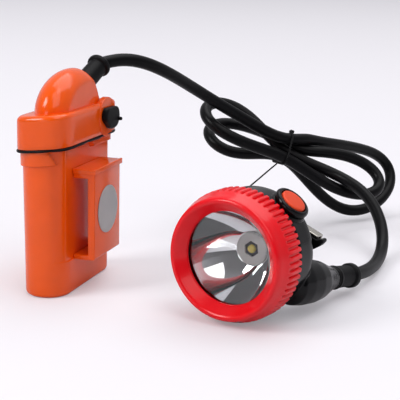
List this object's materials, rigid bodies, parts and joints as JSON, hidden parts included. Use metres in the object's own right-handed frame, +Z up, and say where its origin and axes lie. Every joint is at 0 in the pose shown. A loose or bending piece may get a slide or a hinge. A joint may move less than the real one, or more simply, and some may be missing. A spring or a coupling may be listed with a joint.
{
  "type": "miner's cap lamp",
  "caption": "Corded cap lamp: a belt-worn battery pack with a domed cover, a cord in a tied bundle, and a round headpiece with a screwed bezel.",
  "frame": {"origin": "centre of the battery pack's flat bottom face, on the surface that the lamp stands on", "axes": "+Z up, +X towards the pack's belt loop, Y along the pack's width; the headpiece looks towards -Y"},
  "size_m": [0.1963, 0.326, 0.1382],
  "materials": {
    "orange_abs": "glossy injection-moulded orange ABS",
    "black_plastic": "satin black moulded plastic",
    "black_gloss": "semi-gloss black moulded plastic",
    "rubber_black": "matt black rubber",
    "cord_rubber": "matt black rubber cord sheath",
    "red_bezel": "glossy red moulded plastic",
    "button_orange": "satin orange-red silicone",
    "clear_lens": "clear polished window",
    "reflector_chrome": "vacuum-metallised mirror",
    "spring_steel": "nickel-plated spring steel",
    "alloy": "bare aluminium",
    "label_film": "blank silver-grey adhesive film",
    "board_green": "green solder mask",
    "cell_wrap": "blue shrink sleeve",
    "phosphor": "yellow phosphor under clear silicone"
  },
  "bodies": {
    "root": {"pack_case": "orange_abs", "pack_cover": "orange_abs", "cover_seal": "rubber_black", "belt_loop": "orange_abs", "label_disc": "label_film", "charge_jack": "spring_steel", "cover_screw_1": "spring_steel", "cover_screw_2": "spring_steel", "cord_clamp_screw": "spring_steel", "battery_cell_1": "cell_wrap", "battery_cell_2": "cell_wrap", "battery_cell_3": "cell_wrap", "cell_cradle": "black_plastic", "cell_retainer": "black_plastic", "protection_board": "board_green", "pack_gland": "rubber_black", "head_shell": "black_gloss", "reflector": "reflector_chrome", "led_emitter": "phosphor", "led_board": "alloy", "heat_sink": "alloy", "driver_board": "board_green", "switch_ring": "black_gloss", "micro_switch": "black_plastic", "clip_block": "black_plastic", "helmet_clip": "spring_steel", "clip_rivet_1": "spring_steel", "clip_rivet_2": "spring_steel", "head_gland": "rubber_black", "cord_lead_pack": "cord_rubber", "cord_hank": "cord_rubber", "cord_lead_head": "cord_rubber", "hank_tie": "black_plastic"},
    "lens_carrier": {"lens": "clear_lens", "lens_gasket": "rubber_black"},
    "bezel": {"bezel_ring": "red_bezel"},
    "button": {"switch_button": "button_orange"},
    "plug": {"charge_plug": "rubber_black"}
  },
  "joints": [
    {"name": "lens_slide", "type": "slide", "parent": "root", "child": "lens_carrier", "axis": [-0.2351, -0.9716, 0.0262], "range_m": [0, 0.0061]},
    {"name": "bezel_turn", "type": "hinge", "parent": "lens_carrier", "child": "bezel", "pos_m": [0.114, -0.047, 0.0384], "axis": [-0.2351, -0.9716, 0.0262], "range_deg": [0, 720]},
    {"name": "button_press", "type": "slide", "parent": "root", "child": "button", "axis": [-0.6033, 0.1247, -0.7877], "range_m": [0, 0.0015], "stiffness_N_per_m": 600, "springref_m": -0.001},
    {"name": "charge_plug_pull", "type": "slide", "parent": "root", "child": "plug", "axis": [1, 0, 0], "range_m": [0, 0.012]}
  ],
  "couplings": [
    {"joint": "lens_slide", "follows": "bezel_turn", "m_per_rad": 0.00047746}
  ]
}
